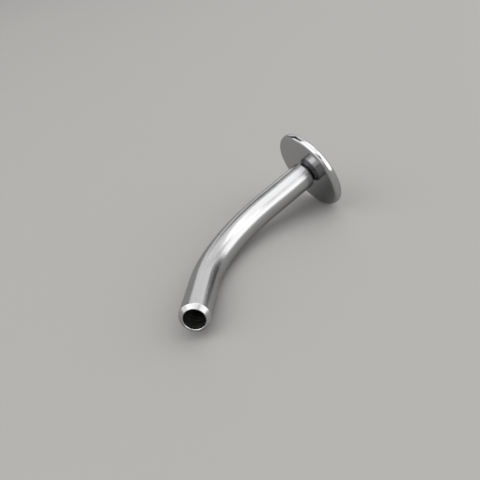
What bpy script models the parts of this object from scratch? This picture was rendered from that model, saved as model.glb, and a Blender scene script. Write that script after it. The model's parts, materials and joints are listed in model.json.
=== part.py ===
# Navel ring: a curved metal post with a flat disc screwed on one end and an open,
# hollow end for a screw-on top. It lies on its side, as it comes to rest by itself.
# Metres, +Z up. The origin is the middle of the bottom of the ring's box, and +X runs
# from the disc to the open end.
# The ring is modelled upright in its own frame first: the disc end of the post is at
# that frame's origin, the post rises along +Z and bends towards +X.
import math

import bmesh
import bpy
import numpy as np
from mathutils import Matrix, Quaternion, Vector

# Driving dimensions of the post
BAR_DIAMETER = 0.0016
END_STRAIGHT = 0.0032
BEND_RADIUS = 0.0073
BEND_ANGLE = math.radians(58)

# The stepped hole in each end of the post, from its mouth in: the flat land that is left
# round it, a 45 degree edge, a wide mouth and the bore
LAND_WIDTH = 0.000025
MOUTH_EDGE = 0.000025
MOUTH_DIAMETER = 0.0011
MOUTH_DEPTH = 0.00025
BORE_DIAMETER = 0.00085
BORE_DEPTH = 0.0027
DRILL_POINT_ANGLE = math.radians(118)

# Driving dimensions of the disc
DISC_DIAMETER = 0.005
DISC_THICKNESS = 0.0005
RIM_FLAT = 0.00004
PIN_TIP_CHAMFER = 0.0001

# Clearances between the disc and the post: face to face, round the pin and past its tip
SEAT_GAP = 0.00003
PIN_CLEARANCE = 0.00003
PIN_END_GAP = 0.0003

# Fineness of the round shapes
BAR_SIDES = 48
BEND_STEPS = 16
BORE_STEPS = 32
DISC_STEPS = 72
RIM_STEPS = 6

# Points nearer than this are one point
WELD_DISTANCE = 1e-6
# A cutter starts this far outside the face that it cuts
CUTTER_OVERSHOOT = 0.0003

# Search for the way up that holds the centre of mass lowest, about a first guess
UP_GUESS = Vector((0.0, 1.0, 0.0))
UP_SEARCH_SPREAD = math.radians(40)
UP_SEARCH_SAMPLES = 41
UP_SEARCH_ROUNDS = 14
UP_SEARCH_SHRINK = 0.6

# What the sizes above give
BAR_RADIUS = BAR_DIAMETER / 2
MOUTH_RADIUS = MOUTH_DIAMETER / 2
BORE_RADIUS = BORE_DIAMETER / 2
PIN_RADIUS = BORE_RADIUS - PIN_CLEARANCE
PIN_LENGTH = BORE_DEPTH - PIN_END_GAP
DISC_RADIUS = DISC_DIAMETER / 2
# The bar's 45 degree chamfer takes what the hole, its edge and the land leave of the end
END_CHAMFER = BAR_RADIUS - MOUTH_RADIUS - MOUTH_EDGE - LAND_WIDTH
# The rim is rounded on both sides, with a narrow flat band left between
RIM_ROUNDING = (DISC_THICKNESS - RIM_FLAT) / 2
POST_LENGTH = 2 * END_STRAIGHT + BEND_RADIUS * BEND_ANGLE


def clear_scene():
    """Remove every object, so that the script starts from nothing."""
    for thing in list(bpy.data.objects):
        bpy.data.objects.remove(thing, do_unlink=True)


def new_collection(name):
    """A collection of this name, linked to the scene."""
    collection = bpy.data.collections.new(name)
    bpy.context.scene.collection.children.link(collection)
    return collection


def polished_metal(name, colour, roughness):
    """A metal with one colour and one roughness."""
    metal = bpy.data.materials.new(name)
    metal.use_nodes = True
    shader = metal.node_tree.nodes["Principled BSDF"]
    shader.inputs["Base Color"].default_value = (*colour, 1.0)
    shader.inputs["Metallic"].default_value = 1.0
    shader.inputs["Roughness"].default_value = roughness
    metal.diffuse_color = (*colour, 1.0)
    return metal


def spine(distance):
    """Point and direction on the post's centre line, a distance from its disc end:
    straight up, round the bend towards +X, and straight again."""
    bend_length = BEND_RADIUS * BEND_ANGLE
    into_bend = min(max(distance - END_STRAIGHT, 0.0), bend_length)
    past_bend = max(distance - END_STRAIGHT - bend_length, 0.0)
    turned = into_bend / BEND_RADIUS
    direction = Vector((math.sin(turned), 0.0, math.cos(turned)))
    before_bend = Vector((0.0, 0.0, min(distance, END_STRAIGHT)))
    round_bend = BEND_RADIUS * Vector((1.0 - math.cos(turned), 0.0, math.sin(turned)))
    return before_bend + round_bend + past_bend * direction, direction


def make_turned(name, profile, steps, collection):
    """A solid of revolution about Z: the profile's (radius, height) points run down its
    outer side from the axis at the top to the axis at the bottom."""
    mesh = bpy.data.meshes.new(name)
    points = [(radius, 0.0, height) for radius, height in profile]
    edges = [(i, i + 1) for i in range(len(points) - 1)]
    mesh.from_pydata(points, edges, [])
    turned = bpy.data.objects.new(name, mesh)
    collection.objects.link(turned)
    screw = turned.modifiers.new("turn", "SCREW")
    screw.steps = steps
    screw.render_steps = steps
    screw.use_merge_vertices = True
    screw.merge_threshold = WELD_DISTANCE
    return turned


def make_bar(name, collection):
    """The bent bar as a tube round the centre line, narrower at its two end points,
    which makes the chamfers."""
    bend_start = END_STRAIGHT
    bend_end = POST_LENGTH - END_STRAIGHT
    stations = [0.0, END_CHAMFER]
    stations += list(np.linspace(bend_start, bend_end, BEND_STEPS + 1))
    stations += [POST_LENGTH - END_CHAMFER, POST_LENGTH]
    curve = bpy.data.curves.new(name, "CURVE")
    curve.dimensions = "3D"
    curve.bevel_depth = BAR_RADIUS
    curve.bevel_resolution = BAR_SIDES // 2 - 2
    curve.use_fill_caps = True
    spline = curve.splines.new("POLY")
    spline.points.add(len(stations) - 1)
    for point, station in zip(spline.points, stations):
        point.co = (*spine(float(station))[0], 1.0)
    for end in (spline.points[0], spline.points[-1]):
        end.radius = 1.0 - END_CHAMFER / BAR_RADIUS
    tube = bpy.data.objects.new(name, curve)
    collection.objects.link(tube)
    return tube


def tube_to_mesh(tube, collection):
    """Replace a tube by a mesh object of the same name, with its caps welded on."""
    name = tube.name
    bpy.context.view_layer.update()
    evaluated = tube.evaluated_get(bpy.context.evaluated_depsgraph_get())
    mesh = bpy.data.meshes.new_from_object(evaluated)
    welded = bmesh.new()
    welded.from_mesh(mesh)
    bmesh.ops.remove_doubles(welded, verts=welded.verts, dist=WELD_DISTANCE)
    bmesh.ops.recalc_face_normals(welded, faces=welded.faces)
    welded.to_mesh(mesh)
    welded.free()
    place = tube.matrix_world.copy()
    bpy.data.objects.remove(tube, do_unlink=True)
    solid = bpy.data.objects.new(name, mesh)
    solid.matrix_world = place
    collection.objects.link(solid)
    return solid


def make_bore_cutter(name, mouth, outwards, collection):
    """A stepped drill's shape with its mouth on an end face of the post, pointing outwards:
    a 45 degree edge, the wide mouth, the bore and the drill's point. It is turned by half
    a facet, so that its corners don't line up with the bar's."""
    tip_length = BORE_RADIUS / math.tan(DRILL_POINT_ANGLE / 2)
    profile = [
        (0.0, CUTTER_OVERSHOOT),
        (MOUTH_RADIUS + MOUTH_EDGE + CUTTER_OVERSHOOT, CUTTER_OVERSHOOT),
        (MOUTH_RADIUS, -MOUTH_EDGE),
        (MOUTH_RADIUS, -MOUTH_DEPTH),
        (BORE_RADIUS, -MOUTH_DEPTH),
        (BORE_RADIUS, -BORE_DEPTH),
        (0.0, -BORE_DEPTH - tip_length),
    ]
    cutter = make_turned(name, profile, BORE_STEPS, collection)
    cutter.location = mouth
    cutter.rotation_mode = "QUATERNION"
    half_facet = Quaternion((0.0, 0.0, 1.0), math.pi / BORE_STEPS)
    cutter.rotation_quaternion = outwards.to_track_quat("Z", "Y") @ half_facet
    cutter.hide_render = True
    cutter.display_type = "WIRE"
    return cutter


def drill(solid, cutter):
    """Cut a hole in a solid."""
    cut = solid.modifiers.new(cutter.name, "BOOLEAN")
    cut.operation = "DIFFERENCE"
    cut.solver = "EXACT"
    cut.object = cutter


def make_curved_post(parts, cutters, parent, metal):
    """The bar with a blind bore in each end: the open one takes a screw-on top, and the
    other takes the disc's pin."""
    post = tube_to_mesh(make_bar("curved_post", parts), parts)
    post.parent = parent
    post.data.materials.append(metal)
    disc_end_point, disc_end_direction = spine(0.0)
    open_end_point, open_end_direction = spine(POST_LENGTH)
    ends = {
        "disc_bore_cutter": (disc_end_point, -disc_end_direction),
        "open_bore_cutter": (open_end_point, open_end_direction),
    }
    for name, (mouth, outwards) in ends.items():
        cutter = make_bore_cutter(name, mouth, outwards, cutters)
        cutter.parent = parent
        drill(post, cutter)
    post.data.shade_smooth()
    post.data.set_sharp_from_angle(angle=math.radians(30))
    return post


def make_disc_end(parts, parent, metal):
    """The disc with its rounded rim, turned in one with the plain pin that seats in the
    post's bore. Its inner face is a small gap below the post's end face."""
    inner_face = -SEAT_GAP
    outer_face = inner_face - DISC_THICKNESS
    pin_tip = inner_face + SEAT_GAP + PIN_LENGTH
    profile = [
        (0.0, pin_tip),
        (PIN_RADIUS - PIN_TIP_CHAMFER, pin_tip),
        (PIN_RADIUS, pin_tip - PIN_TIP_CHAMFER),
        (PIN_RADIUS, inner_face),
    ]
    round_radius = DISC_RADIUS - RIM_ROUNDING
    for centre, start in ((inner_face - RIM_ROUNDING, 90), (outer_face + RIM_ROUNDING, 0)):
        for step in range(RIM_STEPS + 1):
            angle = math.radians(start - 90 * step / RIM_STEPS)
            radius = round_radius + RIM_ROUNDING * math.cos(angle)
            profile.append((radius, centre + RIM_ROUNDING * math.sin(angle)))
    profile.append((0.0, outer_face))
    disc = make_turned("disc_end", profile, DISC_STEPS, parts)
    disc.parent = parent
    disc.data.materials.append(metal)
    return disc


def solid_points(thing):
    """The evaluated mesh's triangle corners in its own frame, as a (triangles, 3, 3)
    array."""
    evaluated = thing.evaluated_get(bpy.context.evaluated_depsgraph_get())
    mesh = evaluated.to_mesh()
    mesh.calc_loop_triangles()
    corners = np.empty(len(mesh.vertices) * 3)
    mesh.vertices.foreach_get("co", corners)
    triangles = np.empty(len(mesh.loop_triangles) * 3, dtype=np.int64)
    mesh.loop_triangles.foreach_get("vertices", triangles)
    evaluated.to_mesh_clear()
    return corners.reshape(-1, 3)[triangles.reshape(-1, 3)]


def centre_of_mass(triangles):
    """Centre of the solids that closed triangles bound, from the tetrahedra that they
    make with the origin."""
    volumes = np.einsum("ij,ij->i", triangles[:, 0], np.cross(triangles[:, 1], triangles[:, 2]))
    centres = triangles.sum(axis=1) / 4
    return (volumes[:, None] * centres).sum(axis=0) / volumes.sum()


def resting_up(points, centre):
    """The direction that points up at rest: of those near the guess, the one that holds
    the centre of mass lowest above the lowest point."""
    best = np.array(UP_GUESS)
    spread = UP_SEARCH_SPREAD
    for _ in range(UP_SEARCH_ROUNDS):
        first = np.cross(best, (0.0, 0.0, 1.0))
        first /= np.linalg.norm(first)
        second = np.cross(best, first)
        leans = np.linspace(-math.tan(spread), math.tan(spread), UP_SEARCH_SAMPLES)
        one, other = (lean.reshape(-1, 1) for lean in np.meshgrid(leans, leans))
        ups = best + one * first + other * second
        ups /= np.linalg.norm(ups, axis=1, keepdims=True)
        heights = ups @ centre - (ups @ points.T).min(axis=1)
        best = ups[heights.argmin()]
        spread *= UP_SEARCH_SHRINK
    return best


def lay_down(stand, things):
    """Turn the stand so that the things lie at rest with the open end towards +X, and
    move it so that the bottom of their box is centred on the origin."""
    bpy.context.view_layer.update()
    triangles = np.concatenate([solid_points(thing) for thing in things])
    points = np.unique(triangles.reshape(-1, 3), axis=0)
    up = resting_up(points, centre_of_mass(triangles))
    along = np.array(spine(POST_LENGTH)[0])
    along -= (along @ up) * up
    along /= np.linalg.norm(along)
    axes = np.array((along, np.cross(up, along), up))
    placed = points @ axes.T
    low = placed.min(axis=0)
    high = placed.max(axis=0)
    stand.rotation_mode = "QUATERNION"
    stand.rotation_quaternion = Matrix(axes.tolist()).to_quaternion()
    stand.location = (-(low[0] + high[0]) / 2, -(low[1] + high[1]) / 2, -low[2])


def build_ring():
    """Build the whole ring."""
    clear_scene()
    parts = new_collection("belly_button_ring")
    cutters = new_collection("cutters")
    stand = bpy.data.objects.new("resting_pose", None)
    stand.empty_display_size = BAR_DIAMETER
    parts.objects.link(stand)
    post_metal = polished_metal("polished_steel_post", (0.62, 0.62, 0.63), 0.16)
    disc_metal = polished_metal("polished_steel_disc", (0.60, 0.60, 0.61), 0.12)
    post = make_curved_post(parts, cutters, stand, post_metal)
    disc = make_disc_end(parts, stand, disc_metal)
    lay_down(stand, [post, disc])
    bpy.context.view_layer.update()


build_ring()
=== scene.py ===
# The looks of a belly button ring: a bent steel post, hollow at its open end, and a flat
# disc seated on the other end. Metres, +Z up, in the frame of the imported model.
import json
import math

import bpy
import numpy as np
from mathutils import Matrix, Quaternion, Vector


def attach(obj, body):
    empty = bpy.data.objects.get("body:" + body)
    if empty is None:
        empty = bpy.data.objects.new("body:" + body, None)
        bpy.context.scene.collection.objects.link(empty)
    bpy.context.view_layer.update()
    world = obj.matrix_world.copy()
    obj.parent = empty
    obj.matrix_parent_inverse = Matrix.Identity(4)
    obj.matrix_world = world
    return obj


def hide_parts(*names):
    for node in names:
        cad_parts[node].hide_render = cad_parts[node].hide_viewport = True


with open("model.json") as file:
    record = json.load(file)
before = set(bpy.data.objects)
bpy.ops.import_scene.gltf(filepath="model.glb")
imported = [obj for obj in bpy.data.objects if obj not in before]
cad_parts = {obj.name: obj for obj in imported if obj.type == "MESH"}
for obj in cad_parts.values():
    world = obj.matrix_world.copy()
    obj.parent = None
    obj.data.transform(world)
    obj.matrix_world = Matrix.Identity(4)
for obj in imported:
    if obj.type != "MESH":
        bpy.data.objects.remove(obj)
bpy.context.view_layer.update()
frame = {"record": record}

MM = 0.001

# How the ring lies
# The ring is one stiff thing of two pieces that lies on its side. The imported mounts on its
# two end faces give three directions that both pieces are measured along: along the post
# where it leaves the disc, towards the side that it bends to, and square to both.
mounts = {mount["name"]: mount for mount in frame["record"]["mounts"]}
disc_face_centre = np.array(mounts["disc_face"]["pos_m"])
along_post = -np.array(mounts["disc_face"]["axis"])
along_open_end = np.array(mounts["open_end_face"]["axis"])
BEND_ANGLE = math.acos(along_post @ along_open_end)
towards_bend = along_open_end - (along_open_end @ along_post) * along_post
towards_bend /= np.linalg.norm(towards_bend)
square_to_both = np.cross(along_post, towards_bend)

# Curved post
# A bar of surgical steel with one bend, chamfered at both ends and drilled from both. The
# hole in the open end is tapped, for a screw-on top. The bar was bent, then polished along
# its length, which leaves fine lines from end to end; the holes stay as the tools cut them.
DISC_THICKNESS = 0.5 * MM
SEAT_GAP = 0.03 * MM
BAR_RADIUS = 0.8 * MM
END_STRAIGHT = 3.2 * MM
BEND_RADIUS = 7.3 * MM
END_CHAMFER = 0.2 * MM
MOUTH_RADIUS = 0.55 * MM
MOUTH_EDGE = 0.025 * MM
MOUTH_DEPTH = 0.25 * MM
BORE_RADIUS = 0.425 * MM
BORE_DEPTH = 2.7 * MM
DRILL_POINT_ANGLE = math.radians(118)
THREAD_PITCH = 0.25 * MM
THREAD_DEPTH = MOUTH_RADIUS - BORE_RADIUS
THREAD_LENGTH = 2.3 * MM
THREAD_ROOT = 0.125
THREAD_CREST = 0.75
FLAT_SIDE = 0.003 * MM

BEND_LENGTH = BEND_RADIUS * BEND_ANGLE
POST_LENGTH = 2 * END_STRAIGHT + BEND_LENGTH
post_start = disc_face_centre + (DISC_THICKNESS + SEAT_GAP) * along_post


def centre_line(distance):
    """Points and directions on the post's centre line at distances from its disc end:
    straight along the post, round an arc towards the bend's side, straight again."""
    turned = np.clip(distance - END_STRAIGHT, 0, BEND_LENGTH) / BEND_RADIUS
    past_bend = np.maximum(distance - END_STRAIGHT - BEND_LENGTH, 0)
    direction = np.outer(np.cos(turned), along_post) + np.outer(np.sin(turned), towards_bend)
    rise = np.minimum(distance, END_STRAIGHT) + BEND_RADIUS * np.sin(turned)
    shift = BEND_RADIUS * (1 - np.cos(turned))
    point = post_start + np.outer(rise, along_post) + np.outer(shift, towards_bend)
    return point + past_bend[:, None] * direction, direction


def rounded(corners, steps):
    """The line through corners (x, y, reach), each inner corner C replaced by the arc that
    leaves one side at A and meets the next at B, both its `reach` from C. The arc is the
    rational parabola ((1-t)^2 A + 2wt(1-t) C + t^2 B) / ((1-t)^2 + 2wt(1-t) + t^2), with w
    the cosine of half the turn. One more point just before and after each arc keeps the
    sides flat in smooth shading."""
    points = np.array(corners)[:, :2]
    t = np.linspace(0, 1, steps + 1)[:, None]
    line = [points[:1]]
    for before, (x, y, reach), after in zip(points, corners[1:], points[2:]):
        corner = np.array((x, y))
        back = (before - corner) / np.linalg.norm(before - corner)
        onward = (after - corner) / np.linalg.norm(after - corner)
        weight = math.sqrt((1 - back @ onward) / 2)
        shares = (1 - t) ** 2, 2 * weight * t * (1 - t), t ** 2
        arc = corner + reach * (shares[0] * back + shares[2] * onward) / sum(shares)
        beyond = reach + FLAT_SIDE
        line += [[corner + beyond * back], arc, [corner + beyond * onward]]
    return np.concatenate(line + [points[-1:]])


def thread_cut(depth, angle):
    """How far a thread is cut into the wall, as a share of its full depth, at a depth below
    the end face and an angle round it: the height of a V with a flat crest and root, at the
    turn count depth / pitch - angle / full turn, fading in and out over one pitch."""
    turn = depth / THREAD_PITCH - angle / math.tau
    from_root = np.abs(2 * (turn % 1) - 1)
    cut = np.clip((THREAD_CREST - from_root) / (THREAD_CREST - THREAD_ROOT), 0, 1)
    starts = np.clip((depth - MOUTH_DEPTH) / THREAD_PITCH, 0, 1)
    ends = np.clip((THREAD_LENGTH - depth) / THREAD_PITCH, 0, 1)
    return cut * starts * ends


def skin(name, grid, first_tip, last_tip=None):
    """A mesh from a (rows, columns, 3) grid of points whose columns run round on
    themselves: a quad between each four neighbours, and a fan of triangles from the first
    row, and from the last, to a tip."""
    rows, columns = grid.shape[:2]
    vertex = np.arange(rows * columns).reshape(rows, columns)
    beside = np.roll(vertex, -1, axis=1)
    quads = np.stack([vertex[:-1], vertex[1:], beside[1:], beside[:-1]], axis=-1)
    points = [grid.reshape(-1, 3), [first_tip]]
    first = np.full(columns, rows * columns)
    faces = quads.reshape(-1, 4).tolist()
    faces += np.stack([first, vertex[0], beside[0]], axis=-1).tolist()
    if last_tip is not None:
        points.append([last_tip])
        faces += np.stack([first + 1, beside[-1], vertex[-1]], axis=-1).tolist()
    mesh = bpy.data.meshes.new(name)
    mesh.from_pydata(np.concatenate(points).tolist(), [], faces)
    mesh.update()
    mesh.shade_smooth()
    piece = bpy.data.objects.new(name, mesh)
    bpy.context.collection.objects.link(piece)
    return piece


def set_polish_lines(piece, grid_lines, tips):
    """Store for each vertex, in metres, the place that the polishing lines are drawn at:
    two components round or across the surface and one along the lines."""
    lines = piece.data.attributes.new("polish_lines", "FLOAT_VECTOR", "POINT")
    values = np.concatenate([grid_lines.reshape(-1, 3), tips])
    lines.data.foreach_set("vector", values.astype(np.float32).ravel())


def linear(hex_colour):
    """An sRGB hex colour as linear red, green, blue and alpha."""
    srgb = np.array([int(hex_colour[i:i + 2], 16) for i in (1, 3, 5)]) / 255
    low, high = srgb / 12.92, ((srgb + 0.055) / 1.055) ** 2.4
    return (*np.where(srgb <= 0.04045, low, high).tolist(), 1.0)


def add_node(material, kind, settings=None, inputs=None):
    """Add a node with its own settings; an input is a value or another node's output."""
    node = material.node_tree.nodes.new(kind)
    for name, value in (settings or {}).items():
        setattr(node, name, value)
    for name, value in (inputs or {}).items():
        if isinstance(value, bpy.types.NodeSocket):
            material.node_tree.links.new(value, node.inputs[name])
        else:
            node.inputs[name].default_value = value
    return node


# The lines are wider than a mop's grit leaves, as coarse as they need to be to show. The
# bands are the mop's uneven pressure. The edge tint is the steel's colour at a low angle.
LINE_WIDTH = 0.1 * MM
LINE_LENGTH = 2.5 * MM
LINE_HEIGHT = 0.0025 * MM
LINE_DETAIL = 3.0
LINE_RAGGEDNESS = 0.6
BAND_WIDTH = 0.25 * MM
BAND_HEIGHT = 0.002 * MM
DULL_FROM = 0.7
DULL_TO = 1.3
ROUGHNESS_SPREAD = 0.05
EDGE_TINT = "#dadada"


def polished_steel(name, colour, roughness, line_scale, unevenness):
    """Surgical steel, 316L, polished with a mop: a neutral grey mirror whose reflections
    are broken into fine lines by what the grit left. The lines are noise stretched by the
    scale given, in turns per metre; a second, wider noise is the mop's uneven pressure.
    Unevenness is the share of the post's line height and of its spread of roughness."""
    steel = bpy.data.materials.new(name)
    steel.use_nodes = True
    shader = steel.node_tree.nodes["Principled BSDF"]
    shader.inputs["Metallic"].default_value = 1.0
    shader.inputs["Base Color"].default_value = linear(colour)
    shader.inputs["Specular Tint"].default_value = linear(EDGE_TINT)
    place = add_node(steel, "ShaderNodeAttribute", {"attribute_name": "polish_lines"})
    fine = add_node(steel, "ShaderNodeMapping", {"vector_type": "POINT"}, {
        "Vector": place.outputs["Vector"], "Scale": Vector(line_scale)})
    wide = add_node(steel, "ShaderNodeMapping", {"vector_type": "POINT"}, {
        "Vector": place.outputs["Vector"], "Scale": Vector(line_scale) * LINE_WIDTH / BAND_WIDTH})
    lines = add_node(steel, "ShaderNodeTexNoise", {}, {
        "Vector": fine.outputs["Vector"], "Scale": 1.0,
        "Detail": LINE_DETAIL, "Roughness": LINE_RAGGEDNESS})
    bands = add_node(steel, "ShaderNodeTexNoise", {}, {
        "Vector": wide.outputs["Vector"], "Scale": 1.0})
    both = add_node(steel, "ShaderNodeMath", {"operation": "ADD"}, {
        0: lines.outputs["Fac"], 1: bands.outputs["Fac"]})
    dull = add_node(steel, "ShaderNodeMapRange", {}, {
        "Value": both.outputs["Value"], "From Min": DULL_FROM, "From Max": DULL_TO,
        "To Min": roughness - unevenness * ROUGHNESS_SPREAD,
        "To Max": roughness + unevenness * ROUGHNESS_SPREAD})
    steel.node_tree.links.new(dull.outputs["Result"], shader.inputs["Roughness"])
    coarse_relief = add_node(steel, "ShaderNodeBump", {}, {
        "Height": bands.outputs["Fac"], "Distance": unevenness * BAND_HEIGHT})
    relief = add_node(steel, "ShaderNodeBump", {}, {
        "Height": lines.outputs["Fac"], "Distance": unevenness * LINE_HEIGHT,
        "Normal": coarse_relief.outputs["Normal"]})
    steel.node_tree.links.new(relief.outputs["Normal"], shader.inputs["Normal"])
    return steel


# The cuts are about as wide as the chips that a small drill takes
CUT_WIDTH = 0.03 * MM
# Painted shade: the bore's colour is far darker than steel, standing in for the shade inside the
# hole
BORE_PAINTED_SHADE = "#262524"
CUT_ROUGHNESS = 0.35, 0.6


def drilled_steel_with_painted_shade():
    """The same steel as the drill and the tap left it, never polished: the cut surface
    scatters light. Its colour is painted shade, far darker than bare steel, so that the hole looks
    black."""
    steel = bpy.data.materials.new("steel_drilled_painted_shade")
    steel.use_nodes = True
    shader = steel.node_tree.nodes["Principled BSDF"]
    shader.inputs["Metallic"].default_value = 1.0
    shader.inputs["Base Color"].default_value = linear(BORE_PAINTED_SHADE)
    grain = add_node(steel, "ShaderNodeTexCoord")
    cuts = add_node(steel, "ShaderNodeTexNoise", {}, {
        "Vector": grain.outputs["Object"], "Scale": 1 / CUT_WIDTH})
    dull = add_node(steel, "ShaderNodeMapRange", {}, {
        "Value": cuts.outputs["Fac"], "To Min": CUT_ROUGHNESS[0], "To Max": CUT_ROUGHNESS[1]})
    steel.node_tree.links.new(dull.outputs["Result"], shader.inputs["Roughness"])
    return steel


POST_COLUMNS = 192
BEND_ROWS = 64
BORE_ROWS = 140
EDGE_STEPS = 5
post_angle = np.linspace(0, math.tau, POST_COLUMNS, endpoint=False)
BORE_TOP = MOUTH_DEPTH + 0.02 * MM
CHAMFER_EDGE = 0.03 * MM
LAND_OUTER_EDGE = 0.009 * MM
LAND_INNER_EDGE = 0.006 * MM
HOLE_EDGE = 0.01 * MM
end_corners = [
    (END_STRAIGHT, BAR_RADIUS, 0),
    (END_CHAMFER, BAR_RADIUS, CHAMFER_EDGE),
    (0, BAR_RADIUS - END_CHAMFER, LAND_OUTER_EDGE),
    (0, MOUTH_RADIUS + MOUTH_EDGE, LAND_INNER_EDGE),
    (MOUTH_EDGE, MOUTH_RADIUS, HOLE_EDGE),
    (MOUTH_DEPTH, MOUTH_RADIUS, HOLE_EDGE),
    (MOUTH_DEPTH, BORE_RADIUS, HOLE_EDGE),
    (BORE_TOP, BORE_RADIUS, 0),
]
end_depth, end_radius = rounded(end_corners, EDGE_STEPS).T
bore_depth = np.linspace(end_depth[-1], BORE_DEPTH, BORE_ROWS)[1:]
bend_distance = np.linspace(END_STRAIGHT, END_STRAIGHT + BEND_LENGTH, BEND_ROWS + 1)[1:-1]

disc_side = np.concatenate([[BORE_DEPTH], end_depth[::-1]])
disc_side_radius = np.concatenate([[BORE_RADIUS], end_radius[::-1]])
open_side = POST_LENGTH - np.concatenate([end_depth, bore_depth])
open_side_radius = np.concatenate([end_radius, np.full(BORE_ROWS - 1, BORE_RADIUS)])
distance = np.concatenate([disc_side, bend_distance, open_side])
radius = np.concatenate([disc_side_radius, np.full(BEND_ROWS - 1, BAR_RADIUS), open_side_radius])

post_radius = np.repeat(radius[:, None], POST_COLUMNS, axis=1)
in_bore = slice(len(distance) - len(bore_depth), None)
post_radius[in_bore] += THREAD_DEPTH * thread_cut(bore_depth[:, None], post_angle[None, :])

centre, direction = centre_line(distance)
across = np.cross(direction, square_to_both)
outward = (np.cos(post_angle)[None, :, None] * across[:, None, :]
           + np.sin(post_angle)[None, :, None] * square_to_both)
post_grid = centre[:, None, :] + post_radius[:, :, None] * outward

tip_length = BORE_RADIUS / math.tan(DRILL_POINT_ANGLE / 2)
tip_distance = np.array([BORE_DEPTH + tip_length, POST_LENGTH - BORE_DEPTH - tip_length])
post_tips = centre_line(tip_distance)[0]
post = skin("curved_post_polished", post_grid, post_tips[0], post_tips[1])
post_lines = np.stack([
    post_radius * np.cos(post_angle),
    post_radius * np.sin(post_angle),
    np.repeat(distance[:, None], POST_COLUMNS, axis=1)], axis=-1)
set_polish_lines(post, post_lines, [(0, 0, d) for d in tip_distance])
post.data.materials.append(polished_steel(
    name="steel_polished_lengthwise", colour="#b5b5b6", roughness=0.25,
    line_scale=(1 / LINE_WIDTH, 1 / LINE_WIDTH, 1 / LINE_LENGTH), unevenness=1.0))
post.data.materials.append(drilled_steel_with_painted_shade())
# The faces inside the holes get the dark steel, whose colour is painted shade
depth_below_end = np.minimum(distance, POST_LENGTH - distance)
drilled_row = (radius < MOUTH_RADIUS) & (depth_below_end > MOUTH_DEPTH / 2)
bore_face_with_painted_shade = np.repeat(drilled_row[1:] & drilled_row[:-1], POST_COLUMNS)
bore_face_with_painted_shade = np.concatenate([bore_face_with_painted_shade, np.full(2 * POST_COLUMNS, True)])
post.data.polygons.foreach_set("material_index", bore_face_with_painted_shade.astype(np.int32))
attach(post, "root")
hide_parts("curved_post")

# Disc end
# A flat disc with a rounded rim, turned in one with the pin that seats in the post, from
# the same steel. It was polished while it spun, so its lines run round it.
DISC_RADIUS = 2.5 * MM
RIM_ROUNDING = 0.23 * MM
PIN_CLEARANCE = 0.03 * MM
PIN_END_GAP = 0.3 * MM
PIN_RADIUS = BORE_RADIUS - PIN_CLEARANCE
PIN_LENGTH = BORE_DEPTH - PIN_END_GAP
PIN_CHAMFER = 0.1 * MM
PIN_EDGE = 0.015 * MM
DISC_COLUMNS = 256
RIM_STEPS = 12
disc_angle = np.linspace(0, math.tau, DISC_COLUMNS, endpoint=False)

pin_top = DISC_THICKNESS + SEAT_GAP + PIN_LENGTH
disc_corners = [
    (PIN_RADIUS - PIN_CHAMFER, pin_top, 0),
    (PIN_RADIUS, pin_top - PIN_CHAMFER, PIN_EDGE),
    (PIN_RADIUS, DISC_THICKNESS, PIN_EDGE),
    (DISC_RADIUS, DISC_THICKNESS, RIM_ROUNDING),
    (DISC_RADIUS, 0, RIM_ROUNDING),
    (BORE_RADIUS, 0, 0),
]
disc_profile = rounded(disc_corners, RIM_STEPS)
disc_radius, disc_height = disc_profile.T
spun = (np.cos(disc_angle)[None, :, None] * towards_bend
        + np.sin(disc_angle)[None, :, None] * square_to_both)
disc_grid = (disc_face_centre + disc_height[:, None, None] * along_post
             + disc_radius[:, None, None] * spun)
disc = skin("disc_end_polished", disc_grid, disc_face_centre + pin_top * along_post,
            disc_face_centre)
step_length = np.linalg.norm(np.diff(disc_profile, axis=0), axis=1)
run = np.concatenate([[0], np.cumsum(step_length)])
disc_lines = np.stack([
    np.repeat(run[:, None], DISC_COLUMNS, axis=1),
    disc_radius[:, None] * np.cos(disc_angle),
    disc_radius[:, None] * np.sin(disc_angle)], axis=-1)
set_polish_lines(disc, disc_lines, [(-disc_radius[0], 0, 0), (run[-1] + disc_radius[-1], 0, 0)])
disc.data.materials.append(polished_steel(
    name="steel_polished_round", colour="#b4b4b5", roughness=0.12,
    line_scale=(1 / LINE_WIDTH, 1 / LINE_LENGTH, 1 / LINE_LENGTH), unevenness=0.25))
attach(disc, "root")
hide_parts("disc_end")

# Floor
# The surface that the ring lies on: matt pale card, which runs up at a distance into a
# curved wall, so that it has no edge from any side. Far out, floor and wall glow with painted light
# where the panels' light falls off.
FLOOR_RADIUS = 600 * MM
MIDDLE_RADIUS = 20 * MM
SWEEP_RADIUS = 200 * MM
SWEEP_STEPS = 24
WALL_HEIGHT = 400 * MM
FLOOR_COLUMNS = 96
sweep = np.radians(np.linspace(0, 90, SWEEP_STEPS + 1))
sweep_radius = FLOOR_RADIUS + SWEEP_RADIUS * np.sin(sweep)
sweep_height = SWEEP_RADIUS * (1 - np.cos(sweep))
floor_radius = np.concatenate([[MIDDLE_RADIUS, FLOOR_RADIUS / 2], sweep_radius, sweep_radius[-1:]])
floor_height = np.concatenate([[0, 0], sweep_height, [WALL_HEIGHT]])
floor_angle = np.linspace(0, math.tau, FLOOR_COLUMNS, endpoint=False)
floor_grid = np.stack([
    floor_radius[:, None] * np.cos(floor_angle),
    floor_radius[:, None] * np.sin(floor_angle),
    np.repeat(floor_height[:, None], FLOOR_COLUMNS, axis=1)], axis=-1)
floor = skin("floor", floor_grid, (0, 0, 0))

CARD_COLOUR = "#939290"
CARD_ROUGHNESS = 0.9
CARD_GLOSS = 0.2
# Painted light: far out the card glows, standing in for the panels' light that falls off there
WALL_GLOW = 0.42
GLOW_STARTS = 0.35 * FLOOR_RADIUS
GLOW_IS_FULL = 0.85 * FLOOR_RADIUS
GLOW_HIGH_UP = 0.6


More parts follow.
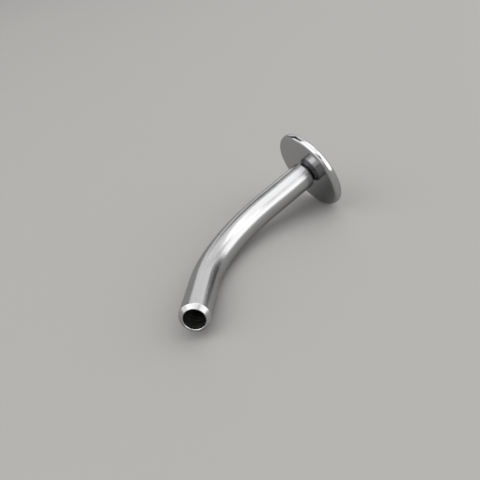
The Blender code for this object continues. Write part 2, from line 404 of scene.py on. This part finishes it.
def card_with_painted_glow():
    """Matt grey card, which scatters light evenly and looks pale under the panels. Far out,
    where little of their light falls, it glows with painted light of its own in place of the panels'
    light:
    a smooth rise with the distance from the ring times a smooth fall with height."""
    card = bpy.data.materials.new("matt_card_painted_glow")
    card.use_nodes = True
    shader = card.node_tree.nodes["Principled BSDF"]
    shader.inputs["Base Color"].default_value = linear(CARD_COLOUR)
    shader.inputs["Roughness"].default_value = CARD_ROUGHNESS
    shader.inputs["Specular IOR Level"].default_value = CARD_GLOSS
    shader.inputs["Emission Color"].default_value = linear("#ffffff")
    place = add_node(card, "ShaderNodeTexCoord")
    height = add_node(card, "ShaderNodeSeparateXYZ", {}, {"Vector": place.outputs["Object"]})
    away = add_node(card, "ShaderNodeVectorMath", {"operation": "LENGTH"}, {
        0: place.outputs["Object"]})
    rising = add_node(card, "ShaderNodeMapRange", {"interpolation_type": "SMOOTHSTEP"}, {
        "Value": away.outputs["Value"], "From Min": GLOW_STARTS, "From Max": GLOW_IS_FULL,
        "To Max": WALL_GLOW})
    fading = add_node(card, "ShaderNodeMapRange", {"interpolation_type": "SMOOTHSTEP"}, {
        "Value": height.outputs["Z"], "From Max": WALL_HEIGHT / 2,
        "To Min": 1.0, "To Max": GLOW_HIGH_UP})
    glow = add_node(card, "ShaderNodeMath", {"operation": "MULTIPLY"}, {
        0: rising.outputs["Result"], 1: fading.outputs["Result"]})
    card.node_tree.links.new(glow.outputs["Value"], shader.inputs["Emission Strength"])
    return card


floor.data.materials.append(card_with_painted_glow())

# Light
# Five soft panels round the ring. The ones beside and overhead, a little apart, give the
# two bright stripes along the post and the white of the chamfer and of the disc's rim. The
# two behind give the grey on the lower stretch, and the one in front softens the shadow.
ring_middle = Vector((0, 0, 2 * MM))
PANEL_DISTANCE = 300 * MM
STUDIO_GLOW = 0.05


def direction_to(azimuth, elevation):
    """The direction at an azimuth, from +X towards +Y, and an elevation, in degrees."""
    turn, rise = math.radians(azimuth), math.radians(elevation)
    return Vector((math.cos(turn) * math.cos(rise), math.sin(turn) * math.cos(rise), math.sin(rise)))


def soft_panel(name, azimuth, elevation, wide, high, spin, brightness):
    """A panel that faces the ring, spun about the line to it, and fills, seen from it, an
    angle of so many degrees wide and high: its sides are twice its distance times the
    tangent of half the angle. Its power is its brightness times pi times its area, so that
    a perfect mirror shows it as bright as the number given."""
    light = bpy.data.lights.new(name, "AREA")
    light.shape = "RECTANGLE"
    light.size = 2 * PANEL_DISTANCE * math.tan(math.radians(wide / 2))
    light.size_y = 2 * PANEL_DISTANCE * math.tan(math.radians(high / 2))
    light.energy = brightness * math.pi * light.size * light.size_y
    panel = bpy.data.objects.new(name, light)
    bpy.context.collection.objects.link(panel)
    towards = direction_to(azimuth, elevation)
    panel.location = ring_middle + PANEL_DISTANCE * towards
    panel.rotation_mode = "QUATERNION"
    spun_by = Quaternion((0, 0, 1), math.radians(spin))
    panel.rotation_quaternion = towards.to_track_quat("Z", "Y") @ spun_by
    panel.visible_camera = False


soft_panel("panel_beside", azimuth=104, elevation=27, wide=88, high=44, spin=0, brightness=1.9)
soft_panel("panel_overhead", azimuth=50, elevation=81, wide=92, high=58, spin=0, brightness=1.9)
soft_panel("panel_behind", azimuth=193, elevation=23, wide=73, high=29, spin=4, brightness=0.95)
soft_panel("panel_behind_high", azimuth=188, elevation=54, wide=50, high=34, spin=0, brightness=1.1)
soft_panel("panel_in_front", azimuth=332, elevation=38, wide=107, high=42, spin=-2, brightness=1.25)

world = bpy.data.worlds.new("dim_studio")
world.use_nodes = True
world.node_tree.nodes["Background"].inputs["Color"].default_value = (1, 1, 1, 1)
world.node_tree.nodes["Background"].inputs["Strength"].default_value = STUDIO_GLOW
bpy.context.scene.world = world
bpy.context.scene.view_settings.view_transform = "Standard"

# Camera
# A macro lens that looks down on the open end, with the disc farthest away, leaning a
# little to one side as the photograph does.
AIM = Vector((0.687, -0.837, 1.456)) * MM
CAMERA_AZIMUTH = 37.98
CAMERA_ELEVATION = 30.87
CAMERA_ROLL = math.radians(13.94)
CAMERA_DISTANCE = 33.5 * MM
FOCAL_PIXELS = 616.36
PICTURE_PIXELS = 480
SENSOR_WIDTH = 36
back = direction_to(CAMERA_AZIMUTH, CAMERA_ELEVATION)
level_right = Vector((0, 0, 1)).cross(back).normalized()
level_up = back.cross(level_right)
right = math.cos(CAMERA_ROLL) * level_right - math.sin(CAMERA_ROLL) * level_up
up = math.cos(CAMERA_ROLL) * level_up + math.sin(CAMERA_ROLL) * level_right
lens = bpy.data.cameras.new("camera")
lens.sensor_width = SENSOR_WIDTH
lens.lens = FOCAL_PIXELS / PICTURE_PIXELS * SENSOR_WIDTH
lens.clip_start = 1 * MM
lens.clip_end = 2000 * MM
camera = bpy.data.objects.new("camera", lens)
bpy.context.collection.objects.link(camera)
camera.matrix_world = (Matrix.Translation(AIM + CAMERA_DISTANCE * back)
                       @ Matrix((right, up, back)).transposed().to_4x4())
bpy.context.scene.camera = camera
